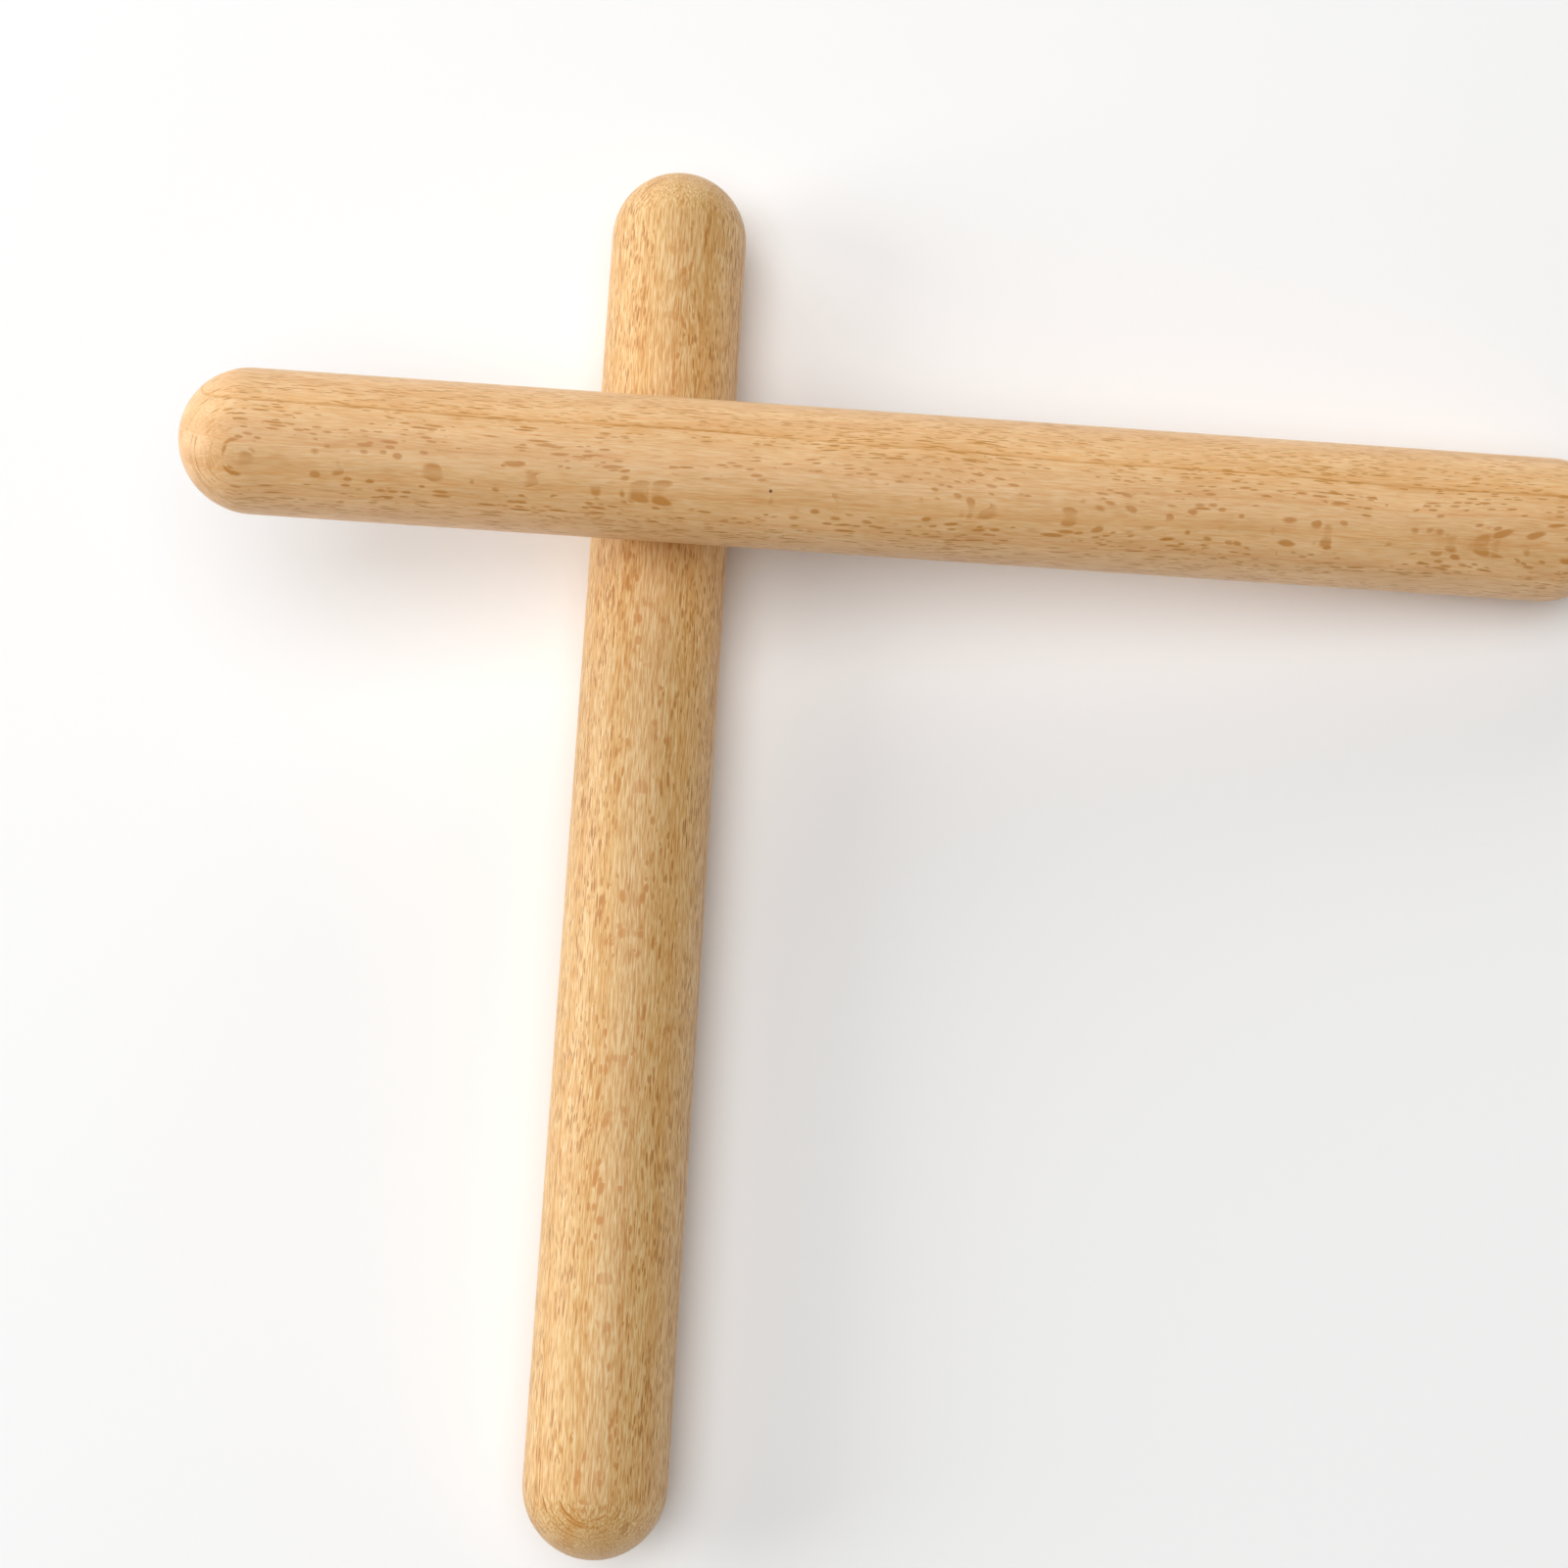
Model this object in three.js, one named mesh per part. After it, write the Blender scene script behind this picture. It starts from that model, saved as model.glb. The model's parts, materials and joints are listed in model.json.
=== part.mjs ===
// A pair of claves: two solid turned beech sticks with round ends, one laid across the other.
//
// Millimetres, +Z up. The pair lies on the plane z = 0. The resting clave lies flat on it along Y,
// and the striking clave leans across the resting clave, along X, with its grip end on the plane.
// The origin is on the plane, under the middle of the pair.
import * as THREE from "three";

// ---- Driving dimensions ---------------------------------------------------------------------

// Each clave is a straight round stick whose two ends are full half-rounds of its own radius.
const striking = { length: 200, diameter: 20 };
const resting = { length: 200, diameter: 20 };

// Where the two meet, measured along each clave from the tip that the player's hand leaves free.
const STRIKE_FROM_STRIKING_TIP = 66;
const STRIKE_FROM_RESTING_TIP = 51.4;

// Clearance between the two sticks where they cross.
const STRIKE_GAP = 0.3;

// ---- Roundness of the faceted solids --------------------------------------------------------

const SIDES = 48;
const STEPS_PER_DOME = 12;

// ---- Materials ------------------------------------------------------------------------------

const strikingBeech = new THREE.MeshStandardMaterial({
  color: 0xcfa26b,
  roughness: 0.42,
  metalness: 0,
});
const restingBeech = new THREE.MeshStandardMaterial({
  color: 0xd9ab6c,
  roughness: 0.42,
  metalness: 0,
});

// ---- Shape of one clave ---------------------------------------------------------------------

// A stick centred on the origin, with its axis along Y.
function turnedStick({ length, diameter }) {
  const radius = diameter / 2;
  const domeCentre = length / 2 - radius;
  const outline = new THREE.Path()
    .absarc(0, -domeCentre, radius, -Math.PI / 2, 0, false)
    .absarc(0, domeCentre, radius, 0, Math.PI / 2, false);
  return new THREE.LatheGeometry(outline.getPoints(STEPS_PER_DOME / 2), SIDES);
}

// ---- How the striking clave leans -----------------------------------------------------------

// The grip end's dome stands on the plane, and the stick rests on the other clave at the strike
// point. The axes of the two sticks pass each other at axisDistance, and gripArm is the stretch of
// the striking clave's axis from that point to the centre of its grip dome.
const strikingRadius = striking.diameter / 2;
const restingRadius = resting.diameter / 2;
const axisDistance = strikingRadius + restingRadius + STRIKE_GAP;
const gripArm = striking.length - strikingRadius - STRIKE_FROM_STRIKING_TIP;
const lean =
  Math.atan2(axisDistance, gripArm) +
  Math.asin((restingRadius - strikingRadius) / Math.hypot(axisDistance, gripArm));

// ---- Places ---------------------------------------------------------------------------------

const domeSpan = striking.length - striking.diameter;
const gripX = (domeSpan * Math.cos(lean)) / 2;
const restingX = gripX - gripArm * Math.cos(lean) - axisDistance * Math.sin(lean);
const strikeY = resting.length / 2 - STRIKE_FROM_RESTING_TIP;

// ---- The pair -------------------------------------------------------------------------------

const restingClave = new THREE.Mesh(turnedStick(resting), restingBeech);
restingClave.name = "resting_clave";
restingClave.position.set(restingX, 0, restingRadius);

// The striking clave tips about the centre of its grip dome, so it hangs from a group placed there.
const gripPivot = new THREE.Group();
gripPivot.position.set(gripX, strikeY, strikingRadius);
gripPivot.rotation.y = lean;

const strikingClave = new THREE.Mesh(turnedStick(striking), strikingBeech);
strikingClave.name = "striking_clave";
strikingClave.rotation.z = Math.PI / 2;
strikingClave.position.x = -domeSpan / 2;
gripPivot.add(strikingClave);

const claves = new THREE.Group();
claves.add(restingClave, gripPivot);

export default claves;
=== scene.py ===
"""A pair of claves: two turned beech sticks with half-round ends, one laid across the other."""

import json
import math
from functools import partial

import bmesh
import bpy
from bpy.props import FloatProperty, FloatVectorProperty, PointerProperty
from bpy.types import Operator, Panel, PropertyGroup
from mathutils import Matrix, Quaternion, Vector


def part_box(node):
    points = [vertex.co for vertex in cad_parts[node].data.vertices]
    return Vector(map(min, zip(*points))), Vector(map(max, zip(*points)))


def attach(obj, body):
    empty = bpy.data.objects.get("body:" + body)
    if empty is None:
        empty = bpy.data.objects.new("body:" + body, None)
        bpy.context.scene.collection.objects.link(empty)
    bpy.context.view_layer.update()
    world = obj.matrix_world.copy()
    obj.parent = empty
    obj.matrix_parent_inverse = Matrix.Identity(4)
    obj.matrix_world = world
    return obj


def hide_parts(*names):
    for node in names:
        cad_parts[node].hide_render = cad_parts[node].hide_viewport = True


bl_info = {
    "name": "Turned Beech Claves",
    "version": (1, 0, 0),
    "blender": (4, 5, 0),
    "location": "3D View > Sidebar > Claves",
    "description": "Models a pair of turned beech claves, laid one across the other, and a stage",
    "category": "Add Mesh",
}

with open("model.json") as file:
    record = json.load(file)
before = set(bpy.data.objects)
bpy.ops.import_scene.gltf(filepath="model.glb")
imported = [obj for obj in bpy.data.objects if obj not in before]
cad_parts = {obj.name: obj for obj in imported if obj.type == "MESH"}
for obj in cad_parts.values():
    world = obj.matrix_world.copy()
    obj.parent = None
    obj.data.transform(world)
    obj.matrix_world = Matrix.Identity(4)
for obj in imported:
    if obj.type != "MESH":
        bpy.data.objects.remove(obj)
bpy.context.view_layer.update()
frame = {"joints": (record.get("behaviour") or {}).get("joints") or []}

MM = 0.001  # one millimetre, in metres
UP = Vector((0, 0, 1))


def linear(hex_colour):
    """The linear red, green and blue of an sRGB colour written as #rrggbb."""
    parts = [int(hex_colour[at : at + 2], 16) / 255 for at in (1, 3, 5)]
    return tuple(p / 12.92 if p <= 0.04045 else ((p + 0.055) / 1.055) ** 2.4 for p in parts)


# ---- Where the two sticks are --------------------------------------------------------------------


def resting_ends():
    """The centres of the resting clave's two domes, its grip end first, and its radius."""
    low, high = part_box("resting_clave")
    radius = (high.z - low.z) / 2
    middle = (low + high) / 2
    grip = Vector((middle.x, low.y + radius, middle.z))
    tip = Vector((middle.x, high.y - radius, middle.z))
    return grip, tip, radius


def striking_ends():
    """The centres of the striking clave's two domes, its grip end first, and its radius."""
    low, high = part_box("striking_clave")
    radius = (high.y - low.y) / 2
    grip = Vector(next(j["pos_m"] for j in frame["joints"] if j["name"] == "strike_swing"))
    tip = Vector((low.x + radius, grip.y, high.z - radius))
    return grip, tip, radius


def length_and_diameter(ends):
    """A stick's whole length and its diameter."""
    grip, tip, radius = ends
    return (tip - grip).length + 2 * radius, 2 * radius


# ---- What a user would change --------------------------------------------------------------------


class TurnedStick:
    """The sizes and the wood that both sticks have."""

    turning_mark_depth: FloatProperty(
        name="Turning mark depth",
        description="How deep the sanding rings on the domes are",
        default=0.012 * MM,
        unit="LENGTH",
        precision=6,
    )
    ring_width: FloatProperty(
        name="Year ring width",
        description="Width of one year's growth",
        default=4.4 * MM,
        unit="LENGTH",
    )
    fleck_colour: FloatVectorProperty(
        name="Fleck colour",
        description="Colour of the rays where the surface grazes them",
        default=linear("#cb8630"),
        subtype="COLOR",
    )


class StrikingClaveSettings(TurnedStick, PropertyGroup):
    """Sizes and colours of the striking clave."""

    length: FloatProperty(
        name="Length",
        description="Length over both domes",
        default=length_and_diameter(striking_ends())[0],
        unit="LENGTH",
    )
    diameter: FloatProperty(
        name="Diameter",
        description="Diameter of the stick",
        default=length_and_diameter(striking_ends())[1],
        unit="LENGTH",
    )
    figure_turn: FloatProperty(
        name="Figure turn",
        description="How far the flecked face is turned from the top of the stick",
        default=math.radians(31.6),
        subtype="ANGLE",
    )
    figure_seed: FloatProperty(
        name="Figure seed",
        description="Which part of the tree the stick was cut from",
        default=3.0,
    )
    heart_distance: FloatProperty(
        name="Distance from the heart",
        description="How far from the heart of the tree the stick was cut",
        default=82.0 * MM,
        unit="LENGTH",
    )
    ray_crowding: FloatProperty(
        name="Ray crowding",
        description="The share of the places for a ray that hold one",
        default=0.9,
        subtype="FACTOR",
    )
    ray_colour: FloatVectorProperty(
        name="Ray colour",
        description="Colour of the rays where they meet the surface end on",
        default=linear("#c0801a"),
        subtype="COLOR",
    )
    ray_height: FloatProperty(
        name="Ray height",
        description="Room for the tallest rays, along the grain",
        default=4.4 * MM,
        unit="LENGTH",
    )
    fibre_contrast: FloatProperty(
        name="Fibre contrast",
        description="How much the fine fibres lighten and darken the wood",
        default=0.22,
        subtype="FACTOR",
    )
    pin_knot: FloatVectorProperty(
        name="Pin knot",
        description="Where a pin knot is, across and along the year rings and along the grain",
        default=(-0.7 * MM, 9.98 * MM, 18.8 * MM),
        subtype="TRANSLATION",
    )
    pin_knot_size: FloatProperty(
        name="Pin knot size",
        description="Diameter of the pin knot",
        default=0.5 * MM,
        unit="LENGTH",
    )
    pale_colour: FloatVectorProperty(
        name="Pale wood",
        description="Colour of the paler wood",
        default=linear("#f3c286"),
        subtype="COLOR",
    )
    deep_colour: FloatVectorProperty(
        name="Deep wood",
        description="Colour of the deeper wood",
        default=linear("#e3ad6d"),
        subtype="COLOR",
    )


class RestingClaveSettings(TurnedStick, PropertyGroup):
    """Sizes and colours of the resting clave."""

    length: FloatProperty(
        name="Length",
        description="Length over both domes",
        default=length_and_diameter(resting_ends())[0],
        unit="LENGTH",
    )
    diameter: FloatProperty(
        name="Diameter",
        description="Diameter of the stick",
        default=length_and_diameter(resting_ends())[1],
        unit="LENGTH",
    )
    figure_turn: FloatProperty(
        name="Figure turn",
        description="How far the flecked face is turned from the top of the stick",
        default=math.radians(-7.7),
        subtype="ANGLE",
    )
    figure_seed: FloatProperty(
        name="Figure seed",
        description="Which part of the tree the stick was cut from",
        default=11.0,
    )
    heart_distance: FloatProperty(
        name="Distance from the heart",
        description="How far from the heart of the tree the stick was cut",
        default=75 * MM,
        unit="LENGTH",
    )
    ray_crowding: FloatProperty(
        name="Ray crowding",
        description="The share of the places for a ray that hold one",
        default=0.75,
        subtype="FACTOR",
    )
    ray_colour: FloatVectorProperty(
        name="Ray colour",
        description="Colour of the rays where they meet the surface end on",
        default=linear("#a4650e"),
        subtype="COLOR",
    )
    ray_height: FloatProperty(
        name="Ray height",
        description="Room for the tallest rays, along the grain",
        default=4.0 * MM,
        unit="LENGTH",
    )
    fibre_contrast: FloatProperty(
        name="Fibre contrast",
        description="How much the fine fibres lighten and darken the wood",
        default=0.56,
        subtype="FACTOR",
    )
    pale_colour: FloatVectorProperty(
        name="Pale wood",
        description="Colour of the paler wood",
        default=linear("#e1b26e"),
        subtype="COLOR",
    )
    deep_colour: FloatVectorProperty(
        name="Deep wood",
        description="Colour of the deeper wood",
        default=linear("#d8a55f"),
        subtype="COLOR",
    )


class StageSettings(PropertyGroup):
    """Floor, lights and camera."""

    floor_size: FloatProperty(
        name="Floor size",
        description="Side of the square floor",
        default=1.6,
        unit="LENGTH",
    )
    floor_colour: FloatVectorProperty(
        name="Floor colour",
        description="Colour of the paper sweep",
        default=linear("#fafafa"),
        subtype="COLOR",
    )
    surround_strength: FloatProperty(
        name="Surround strength",
        description="How strongly the white room lights the pair",
        default=0.04,
    )
    camera_lens: FloatProperty(
        name="Lens",
        description="Focal length for a 36 mm wide sensor",
        default=53.34,
        unit="CAMERA",
    )
    camera_aim: FloatVectorProperty(
        name="Aim",
        description="Point that the camera looks at",
        default=(-14.45 * MM, 5.99 * MM, 25 * MM),
        subtype="TRANSLATION",
    )
    camera_distance: FloatProperty(
        name="Distance",
        description="From the camera to its aim",
        default=317.25 * MM,
        unit="LENGTH",
    )
    camera_azimuth: FloatProperty(
        name="Azimuth",
        description="Where the camera stands, from -Y towards +X",
        default=math.radians(37.98),
        subtype="ANGLE",
    )
    camera_elevation: FloatProperty(
        name="Elevation",
        description="How far the camera looks down",
        default=math.radians(78.44),
        subtype="ANGLE",
    )
    camera_roll: FloatProperty(
        name="Roll",
        description="How far the camera is turned about its view",
        default=math.radians(35.24),
        subtype="ANGLE",
    )


class ClavesSettings(PropertyGroup):
    """Everything about the pair and its stage."""

    striking: PointerProperty(type=StrikingClaveSettings)
    resting: PointerProperty(type=RestingClaveSettings)
    stage: PointerProperty(type=StageSettings)


# ---- Materials -----------------------------------------------------------------------------------


def add_node(tree, kind, inputs=None, **settings):
    """Adds a node. An input takes a value, a node, or one of a node's outputs."""
    node = tree.nodes.new("ShaderNode" + kind)
    for name, setting in settings.items():
        setattr(node, name, setting)
    for name, value in (inputs or {}).items():
        if isinstance(value, bpy.types.Node):
            value = next(output for output in value.outputs if output.enabled)
        if isinstance(value, bpy.types.NodeSocket):
            tree.links.new(value, node.inputs[name])
        else:
            node.inputs[name].default_value = value
    return node


def new_material(name):
    """An empty node material and its tree."""
    material = bpy.data.materials.new(name)
    material.use_nodes = True
    material.node_tree.nodes.clear()
    return material, material.node_tree


# Sizes of the figure in beech, in millimetres: across the year rings, along them, and along the
# grain.
WANDER_SIZE = (25, 25, 45)
YEAR_DRIFT_SIZE = (9, 9, 300)
YEAR_DASH_SIZE = (0.5, 0.5, 3.0)
BROAD_STREAK_SIZE = (2.5, 2.5, 25)
CLOUD_SIZE = (2.0, 2.0, 4.5)
VESSEL_SIZE = (0.24, 0.24, 4.0)
FIBRE_SIZE = (0.18, 0.18, 2.4)
LACQUER_STREAK_SIZE = (0.3, 0.3, 6.0)
RAY_GROUP_SIZE = (4.5, 3.0, 13)
BROAD_RAY_DEPTH, BROAD_RAY_WIDTH = 24, 0.25
SMALL_RAY_DEPTH, SMALL_RAY_WIDTH = 10, 0.21

WANDER = 2.4  # how strongly the grain bends, in millimetres
PIN_KNOT_COLOUR = linear("#7a3402")
FIBRE_RELIEF = 0.02 * MM  # how far the lacquer sinks into the rays and fibres


def grain_axes(grip, tip, figure_turn):
    """The directions across the year rings, along them, and along the grain."""
    grain = (tip - grip).normalized()
    top = (UP - UP.dot(grain) * grain).normalized()
    side = top.cross(grain)
    along_rings = math.cos(figure_turn) * top + math.sin(figure_turn) * side
    across_rings = math.cos(figure_turn) * side - math.sin(figure_turn) * top
    return across_rings, along_rings, grain


def lacquered_beech(name, ends, settings):
    """Beech, turned and sanded, under a clear satin lacquer.

    The wood is a solid figure, in millimetres: x runs across the year rings, y along them and z
    along the grain, so every cut through it shows what real beech shows there. The eye sees a
    pale, even wood with fine streaks along the grain, thin rays that are short dark dashes where
    they meet the surface end on and broad flecks where the surface grazes them, and faint broken
    lines where a year ends. The lacquer gives broad, soft reflections and pale edges.
    """
    material, tree = new_material(name)
    add = partial(add_node, tree)
    grip, tip, radius = ends
    turn = Matrix(grain_axes(grip, tip, settings.figure_turn)).transposed().to_euler()
    place = add(
        "Mapping",
        {
            "Vector": add("TexCoord").outputs["Object"],
            "Location": (grip + tip) / 2,
            "Rotation": turn,
            "Scale": (MM, MM, MM),
        },
        vector_type="TEXTURE",
    )

    # The grain wanders by a few tenths of a millimetre over a few centimetres of its length.
    bend = add(
        "TexNoise",
        {
            "Vector": add(
                "VectorMath",
                {
                    0: place,
                    1: tuple(1 / s for s in WANDER_SIZE),
                    2: (settings.figure_seed, 0, 0),
                },
                operation="MULTIPLY_ADD",
            ),
            "Scale": 1.0,
            "Detail": 1.0,
        },
    ).outputs["Color"]
    bend = add("VectorMath", {0: bend, 1: (0.5, 0.5, 0.5)}, operation="SUBTRACT")
    wood = add(
        "VectorMath", {0: bend, 1: (WANDER, WANDER, 0.0), 2: place}, operation="MULTIPLY_ADD"
    )

    def counted(size, seed):
        """The place in the wood, counted in cells of this size in millimetres."""
        return add(
            "VectorMath",
            {
                0: wood,
                1: tuple(1 / s for s in size),
                2: (settings.figure_seed + seed, seed, 2 * seed),
            },
            operation="MULTIPLY_ADD",
        )

    def streaks(size, seed, detail, least, most, low=0.3, high=0.7):
        """Soft streaks of this size, from least where noise is low to most where it is high."""
        noise = add("TexNoise", {"Vector": counted(size, seed), "Scale": 1.0, "Detail": detail})
        return add(
            "MapRange",
            {0: noise, "From Min": low, "From Max": high, "To Min": least, "To Max": most},
        )

    def rays(size, reach, kept, seed):
        """Thin ribbons across the year rings, at most one to a cell, which stand in loose groups."""
        cells = add("TexVoronoi", {"Vector": counted(size, seed), "Scale": 1.0})
        chance = add("SeparateColor", {"Color": cells.outputs["Color"]}).outputs
        own_reach = add("MapRange", {0: chance["Green"], "To Min": 0.4 * reach, "To Max": reach})
        inside = add(
            "MapRange",
            {
                0: add("Math", {0: cells.outputs["Distance"], 1: own_reach}, operation="DIVIDE"),
                "From Min": 0.6,
                "From Max": 1.1,
                "To Min": 1.0,
                "To Max": 0.0,
            },
            interpolation_type="SMOOTHSTEP",
        )
        crowding = streaks(RAY_GROUP_SIZE, seed + 1, 1.0, 0.05 * kept, 1.8 * kept, 0.4, 0.65)
        here = add("Math", {0: chance["Red"], 1: crowding}, operation="LESS_THAN")
        strength = add("MapRange", {0: chance["Blue"], "To Min": 0.8, "To Max": 1.0})
        shown = add("Math", {0: inside, 1: here}, operation="MULTIPLY")
        return add("Math", {0: shown, 1: strength}, operation="MULTIPLY")

    # Year rings: the distance from the heart of the tree, counted in years.
    out_of_heart = add(
        "VectorMath",
        {0: wood, 1: (1, 1, 0), 2: (settings.heart_distance / MM, 0, 0)},
        operation="MULTIPLY_ADD",
    )
    from_heart = add("VectorMath", {0: out_of_heart}, operation="LENGTH").outputs["Value"]
    years = add(
        "Math",
        {
            0: from_heart,
            1: MM / settings.ring_width,
            2: streaks(YEAR_DRIFT_SIZE, 5, 0.0, -0.25, 0.25),
        },
        operation="MULTIPLY_ADD",
    )
    season = add("Math", {0: years}, operation="FRACT")
    late_wood = add(
        "MapRange",
        {0: season, "From Min": 0.6, "From Max": 1.0, "To Min": 0.0, "To Max": 0.12},
        interpolation_type="SMOOTHSTEP",
    )
    # A year ends in a fine line, partly broken into dashes and plainer in some years.
    year_end = add("MapRange", {0: season, "From Min": 0.925, "From Max": 0.945, "To Max": 0.75})
    this_year = add(
        "TexWhiteNoise",
        {
            "W": add(
                "Math", {0: add("Math", {0: years}, operation="FLOOR"), 1: settings.figure_seed}
            )
        },
        noise_dimensions="1D",
    ).outputs["Value"]
    plainness = add(
        "MapRange",
        {0: this_year, "From Min": 0.3, "From Max": 1.0, "To Min": 0.15, "To Max": 1.0},
    )
    for part in (plainness, streaks(YEAR_DASH_SIZE, 7, 1.0, 0.4, 1.0, 0.4, 0.6)):
        year_end = add("Math", {0: year_end, 1: part}, operation="MULTIPLY")

    # Streaks along the grain: broad soft ones, clouds, vessels and fibres. Real fibres are
    # 0.02 mm wide. These are drawn nine times as coarse, so that they show.
    broad = streaks(BROAD_STREAK_SIZE, 13, 1.0, 0.0, 1.0, 0.2, 0.8)
    clouds = streaks(CLOUD_SIZE, 31, 1.0, -0.2, 0.2)
    vessels = streaks(VESSEL_SIZE, 17, 1.0, -0.1, 0.1, 0.4, 0.7)
    contrast = settings.fibre_contrast
    fibres = streaks(FIBRE_SIZE, 19, 2.0, -0.5 * contrast, contrast, 0.4, 0.75)

    # A ray takes one brown where it meets the surface end on, and another where the surface
    # grazes it.
    across = add("SeparateXYZ", {0: place}).outputs["X"]
    off_centre = add("Math", {0: across}, operation="ABSOLUTE")
    end_on = add(
        "MapRange",
        {
            0: off_centre,
            "From Min": 0.2 * radius / MM,
            "From Max": 0.7 * radius / MM,
        },
    )
    ray_tint = add(
        "Mix",
        {
            "Factor": end_on,
            6: (*settings.fleck_colour, 1.0),
            7: (*settings.ray_colour, 1.0),
        },
        data_type="RGBA",
    )
    ray_height = settings.ray_height / MM
    broad_size = (BROAD_RAY_DEPTH, BROAD_RAY_WIDTH, ray_height)
    small_size = (SMALL_RAY_DEPTH, SMALL_RAY_WIDTH, 0.5 * ray_height)
    broad_rays = rays(broad_size, 0.42, settings.ray_crowding, 23)
    small_rays = rays(small_size, 0.44, 1.3 * settings.ray_crowding, 29)
    small_rays = add("Math", {0: small_rays, 1: 0.9}, operation="MULTIPLY")
    all_rays = add("Math", {0: broad_rays, 1: small_rays}, operation="MAXIMUM")
    # The broad faces of the rays show only faintly, and their edges more strongly.
    cover = add(
        "MapRange",
        {
            0: off_centre,
            "From Min": 0.03 * radius / MM,
            "From Max": 0.11 * radius / MM,
            "To Min": 0.4,
            "To Max": 1.0,
        },
    )
    all_rays = add("Math", {0: all_rays, 1: cover}, operation="MULTIPLY")

    colour = add(
        "Mix",
        {
            "Factor": add("Math", {0: broad, 1: clouds}),
            6: (*settings.pale_colour, 1.0),
            7: (*settings.deep_colour, 1.0),
        },
        data_type="RGBA",
    )
    # Deeper wood is browner as well as darker, so the colour is raised to a power, and the
    # fibres dim it a little more.
    depth = 1.0
    for shade in (late_wood, vessels, fibres):
        depth = add("Math", {0: shade, 1: depth})
    colour = add("Gamma", {"Color": colour, "Gamma": depth})
    dimmed = add("Math", {0: fibres, 1: -0.15, 2: 1.0}, operation="MULTIPLY_ADD")
    colour = add("HueSaturation", {"Color": colour, "Value": dimmed})
    for shade in (year_end, all_rays):
        colour = add("Mix", {"Factor": shade, 6: colour, 7: ray_tint}, data_type="RGBA")

    # Only the striking clave has a pin knot, a dark speck.
    if hasattr(settings, "pin_knot"):
        from_knot = add(
            "VectorMath",
            {0: place, 1: Vector(settings.pin_knot) / MM},
            operation="DISTANCE",
        ).outputs["Value"]
        knot = add(
            "MapRange",
            {
                0: from_knot,
                "From Min": 0.3 * settings.pin_knot_size / MM,
                "From Max": 0.6 * settings.pin_knot_size / MM,
                "To Min": 1.0,
                "To Max": 0.0,
            },
        )
        knot_colour = (*PIN_KNOT_COLOUR, 1.0)
        colour = add("Mix", {"Factor": knot, 6: colour, 7: knot_colour}, data_type="RGBA")

    sunk = add("Math", {0: all_rays, 1: 0.6, 2: fibres}, operation="MULTIPLY_ADD")
    bump = add("Bump", {"Strength": 0.5, "Distance": FIBRE_RELIEF, "Height": sunk}, invert=True)
    shader = add(
        "BsdfPrincipled",
        {
            "Base Color": colour,
            "Roughness": streaks(LACQUER_STREAK_SIZE, 17, 1.0, 0.55, 0.65),
            "IOR": 1.5,
            "Specular IOR Level": 0.45,
            "Normal": bump,
            "Coat Weight": 0.75,
            "Coat Roughness": 0.5,
            "Coat IOR": 1.5,
            "Coat Normal": bump,
        },
    )
    add("OutputMaterial", {"Surface": shader})
    return material


# ---- Modelling a stick ---------------------------------------------------------------------------

STICK_SIDES = 160
DOME_RINGS = 64  # from the end of the barrel to the pole
BARREL_CUTS = 60
MARKED_RINGS = 0.8 * DOME_RINGS  # the rings nearest the pole have no marks


def deselect_all():
    """Leaves no object selected."""
    bpy.ops.object.select_all(action="DESELECT")


def select_where(kind, test):
    """In edit mode, selects only the vertices, edges or faces that pass the test."""
    bpy.ops.mesh.select_mode(type=kind)
    bpy.ops.mesh.select_all(action="DESELECT")
    mesh = bmesh.from_edit_mesh(bpy.context.edit_object.data)
    parts = {"VERT": mesh.verts, "EDGE": mesh.edges, "FACE": mesh.faces}[kind]
    for part in parts:
        if test(part):
            part.select_set(True)
    mesh.select_flush_mode()
    bmesh.update_edit_mesh(bpy.context.edit_object.data)


def turned_stick(name, ends, settings):
    """A ball is cut at its middle and drawn out to a stick, then given its turning marks."""
    grip, tip, _ = ends
    radius = settings.diameter / 2
    span = settings.length - settings.diameter
    nothing = radius / 1000

    deselect_all()
    bpy.ops.mesh.primitive_uv_sphere_add(
        segments=STICK_SIDES,
        ring_count=2 * DOME_RINGS,
        radius=radius,
        location=(0, 0, 0),
    )
    stick = bpy.context.object
    stick.name = stick.data.name = name

    bpy.ops.object.mode_set(mode="EDIT")
    select_where("FACE", lambda face: face.calc_center_median().z > 0)
    bpy.ops.mesh.extrude_region_move(TRANSFORM_OT_translate={"value": (0, 0, span)})
    select_where("EDGE", lambda edge: edge.calc_length() > span - nothing)
    bpy.ops.mesh.subdivide(number_cuts=BARREL_CUTS)

    # Sanding on the lathe leaves shallow rings on the domes, unevenly spaced.
    ring_pitch = math.pi / 2 / DOME_RINGS

    def in_a_mark(vertex):
        height = -vertex.co.z if vertex.co.z < 0 else vertex.co.z - span
        if height < nothing:
            return False
        ring = round(math.asin(min(height / radius, 1)) / ring_pitch)
        return ring < MARKED_RINGS and (ring * ring * 7 + ring * 3) % 11 in (1, 4, 6)

    select_where("VERT", in_a_mark)
    bpy.ops.transform.shrink_fatten(value=-settings.turning_mark_depth)
    bpy.ops.mesh.select_all(action="SELECT")
    bpy.ops.mesh.normals_make_consistent(inside=False)
    bpy.ops.object.mode_set(mode="OBJECT")
    bpy.ops.object.shade_smooth()

    turn = (tip - grip).to_track_quat("Z", "Y")
    middle = (grip + tip) / 2
    stick.matrix_world = (
        Matrix.Translation(middle) @ turn.to_matrix().to_4x4() @ Matrix.Translation((0, 0, -span / 2))
    )
    bpy.ops.object.transform_apply(location=True, rotation=True, scale=True)
    return stick


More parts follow.
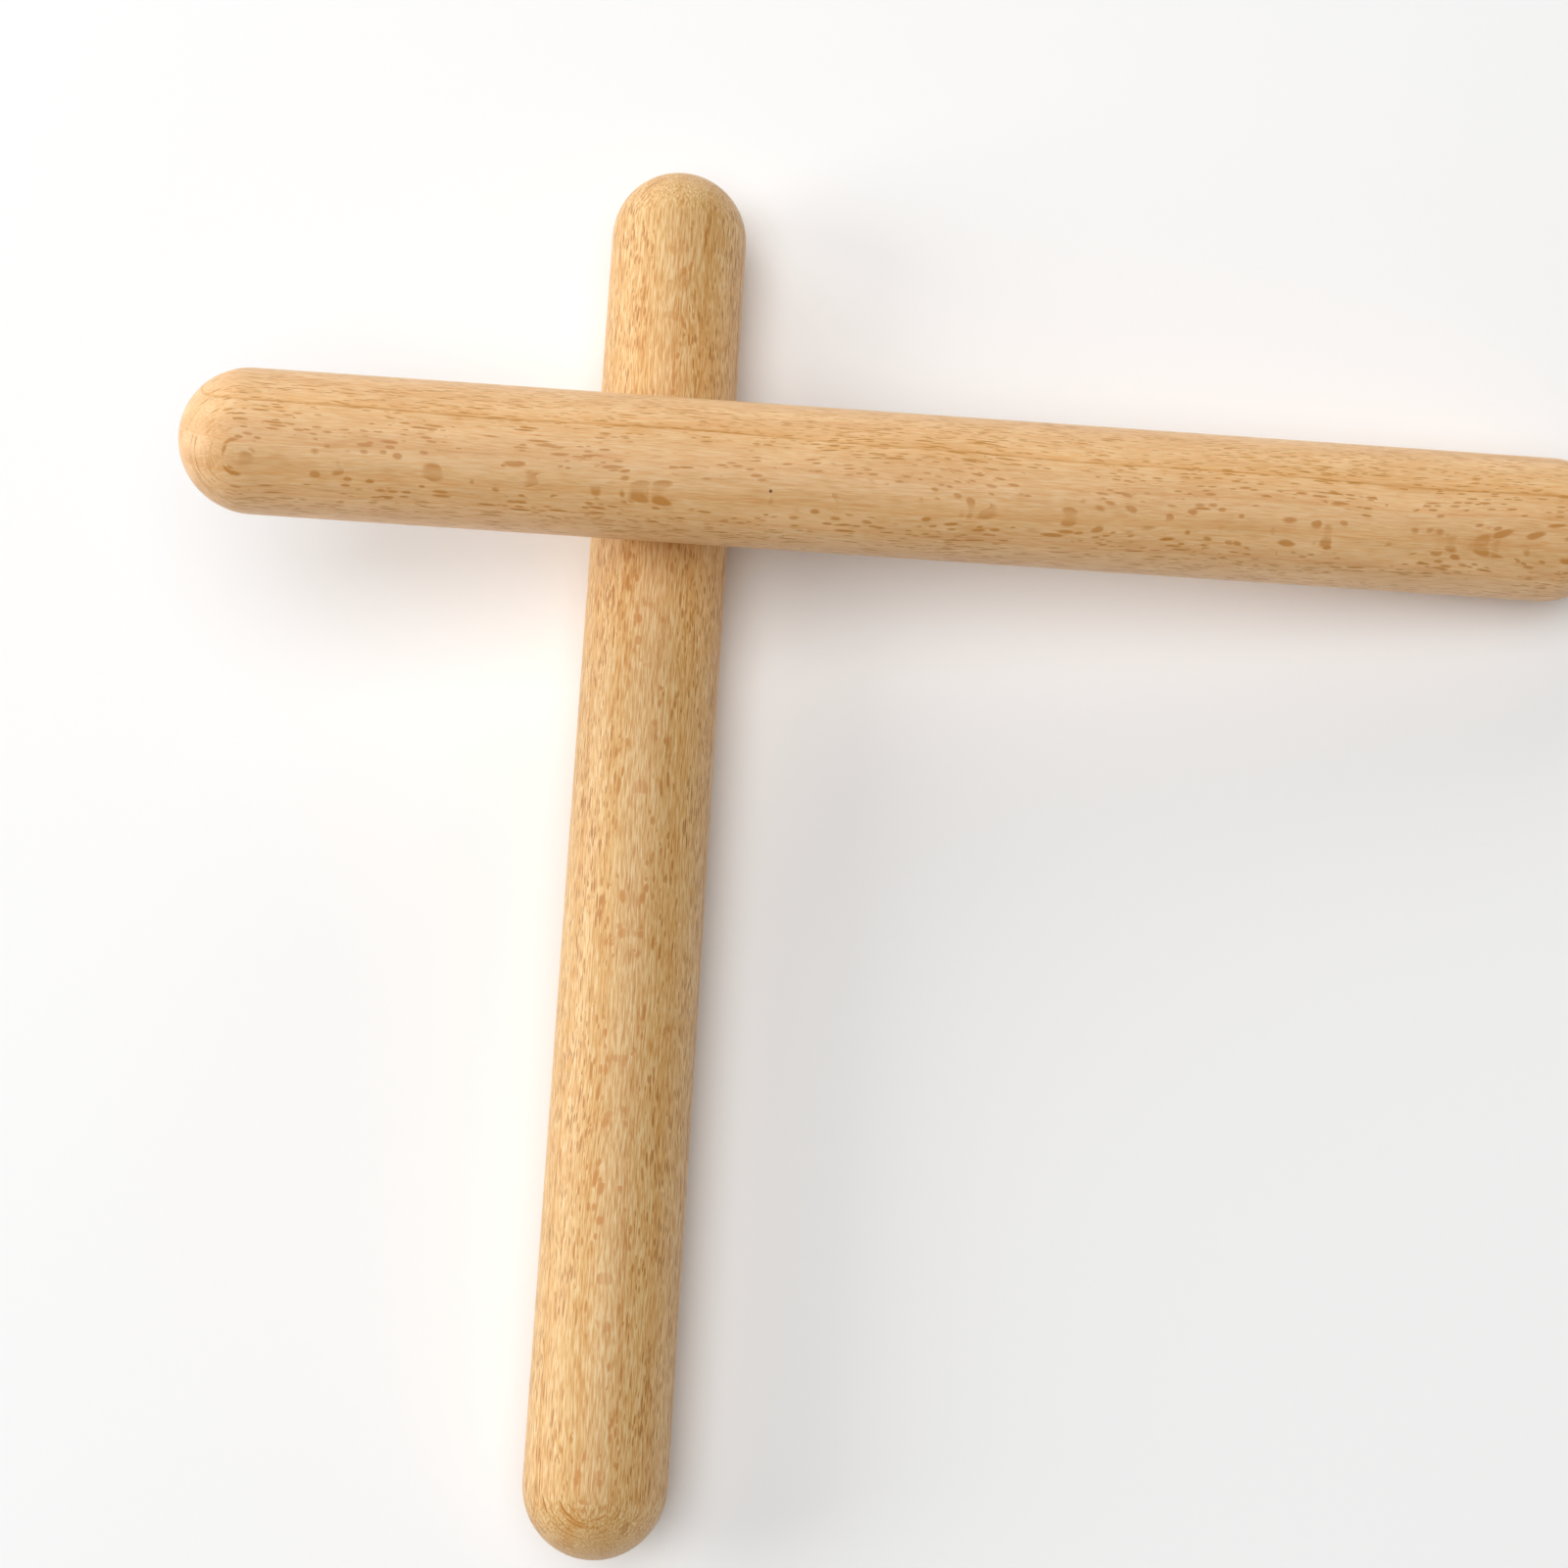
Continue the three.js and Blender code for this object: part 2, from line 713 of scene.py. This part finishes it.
def finish_piece(piece, material, body, node):
    """Gives a piece its material and its place in the frame."""
    piece.data.materials.append(material)
    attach(piece, body)
    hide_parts(node)


class CLAVES_OT_striking_clave(Operator):
    """Adds the striking clave, which leans across the other"""

    bl_idname = "claves.striking_clave"
    bl_label = "Add striking clave"
    bl_options = {"REGISTER", "UNDO"}

    def execute(self, context):
        settings = context.scene.claves.striking
        ends = striking_ends()
        stick = turned_stick("striking_clave_stick", ends, settings)
        wood = lacquered_beech("Satin lacquered beech, striking", ends, settings)
        finish_piece(stick, wood, "striking_clave", "striking_clave")
        return {"FINISHED"}


class CLAVES_OT_resting_clave(Operator):
    """Adds the resting clave, which lies on the floor"""

    bl_idname = "claves.resting_clave"
    bl_label = "Add resting clave"
    bl_options = {"REGISTER", "UNDO"}

    def execute(self, context):
        settings = context.scene.claves.resting
        ends = resting_ends()
        stick = turned_stick("resting_clave_stick", ends, settings)
        wood = lacquered_beech("Satin lacquered beech, resting", ends, settings)
        finish_piece(stick, wood, "resting_clave", "resting_clave")
        return {"FINISHED"}


# ---- Stage ---------------------------------------------------------------------------------------

# name, azimuth from -Y towards +X and elevation in degrees, distance and size in metres, watts
SOFT_LIGHTS = (
    ("window_left", 270, 20, 1.4, 0.9, 9.2),
    ("window_middle", 225, 20, 1.4, 0.9, 6.1),
    ("window_right", 180, 20, 1.4, 0.9, 2.9),
    ("top_light", 0, 89, 1.4, 1.5, 15.7),
)


def direction(azimuth, elevation):
    """Unit vector for an azimuth from -Y towards +X and an elevation."""
    flat = math.cos(elevation)
    return Vector((math.sin(azimuth) * flat, -math.cos(azimuth) * flat, math.sin(elevation)))


class CLAVES_OT_stage(Operator):
    """Adds the floor, the soft lights, the white room and the camera"""

    bl_idname = "claves.stage"
    bl_label = "Add stage"
    bl_options = {"REGISTER", "UNDO"}

    def execute(self, context):
        scene = context.scene
        settings = scene.claves.stage
        deselect_all()

        bpy.ops.mesh.primitive_plane_add(size=settings.floor_size, location=(0, 0, 0))
        floor = context.object
        floor.name = floor.data.name = "paper_sweep"
        paper, tree = new_material("Matt white paper")
        shader = add_node(
            tree,
            "BsdfPrincipled",
            {
                "Base Color": (*settings.floor_colour, 1.0),
                "Roughness": 0.9,
                "Specular IOR Level": 0.2,
            },
        )
        add_node(tree, "OutputMaterial", {"Surface": shader})
        floor.data.materials.append(paper)

        for name, azimuth, elevation, distance, size, watts in SOFT_LIGHTS:
            toward = direction(math.radians(azimuth), math.radians(elevation))
            bpy.ops.object.light_add(type="AREA", location=distance * toward)
            light = context.object
            light.name = light.data.name = name
            light.data.shape = "DISK"
            light.data.size = size
            light.data.energy = watts
            light.rotation_euler = toward.to_track_quat("Z", "Y").to_euler()

        room = bpy.data.worlds.new("White room")
        room.use_nodes = True
        room.node_tree.nodes.clear()
        # The room lights the pair softly, and looks white where it shows behind the floor.
        seen = add_node(
            room.node_tree,
            "MapRange",
            {
                0: add_node(room.node_tree, "LightPath").outputs["Is Camera Ray"],
                "To Min": settings.surround_strength,
                "To Max": 0.95,
            },
        )
        white = (1.0, 1.0, 1.0, 1.0)
        glow = add_node(room.node_tree, "Background", {"Color": white, "Strength": seen})
        add_node(room.node_tree, "OutputWorld", {"Surface": glow})
        scene.world = room
        scene.view_settings.view_transform = "Standard"

        toward = direction(settings.camera_azimuth, settings.camera_elevation)
        aim = Vector(settings.camera_aim)
        bpy.ops.object.camera_add(location=aim + settings.camera_distance * toward)
        camera = context.object
        camera.name = camera.data.name = "camera"
        level = toward.to_track_quat("Z", "Y")
        roll = Quaternion((0, 0, 1), -settings.camera_roll)
        camera.rotation_euler = (level @ roll).to_euler()
        camera.data.lens = settings.camera_lens
        camera.data.clip_start = 0.01
        scene.camera = camera
        return {"FINISHED"}


class CLAVES_PT_sidebar(Panel):
    """Lists the pieces and their settings"""

    bl_idname = "CLAVES_PT_sidebar"
    bl_label = "Claves"
    bl_space_type = "VIEW_3D"
    bl_region_type = "UI"
    bl_category = "Claves"

    def draw(self, context):
        layout = self.layout
        groups = context.scene.claves
        for button, group in (
            (CLAVES_OT_striking_clave, groups.striking),
            (CLAVES_OT_resting_clave, groups.resting),
            (CLAVES_OT_stage, groups.stage),
        ):
            box = layout.box()
            box.operator(button.bl_idname)
            for name in group.bl_rna.properties.keys():
                if name not in {"rna_type", "name"}:
                    box.prop(group, name)


CLASSES = (
    StrikingClaveSettings,
    RestingClaveSettings,
    StageSettings,
    ClavesSettings,
    CLAVES_OT_striking_clave,
    CLAVES_OT_resting_clave,
    CLAVES_OT_stage,
    CLAVES_PT_sidebar,
)


def register():
    for each in CLASSES:
        bpy.utils.register_class(each)
    bpy.types.Scene.claves = PointerProperty(type=ClavesSettings)


def unregister():
    del bpy.types.Scene.claves
    for each in reversed(CLASSES):
        bpy.utils.unregister_class(each)


def main():
    register()
    bpy.ops.claves.striking_clave()
    bpy.ops.claves.resting_clave()
    bpy.ops.claves.stage()


if __name__ == "__main__":
    main()
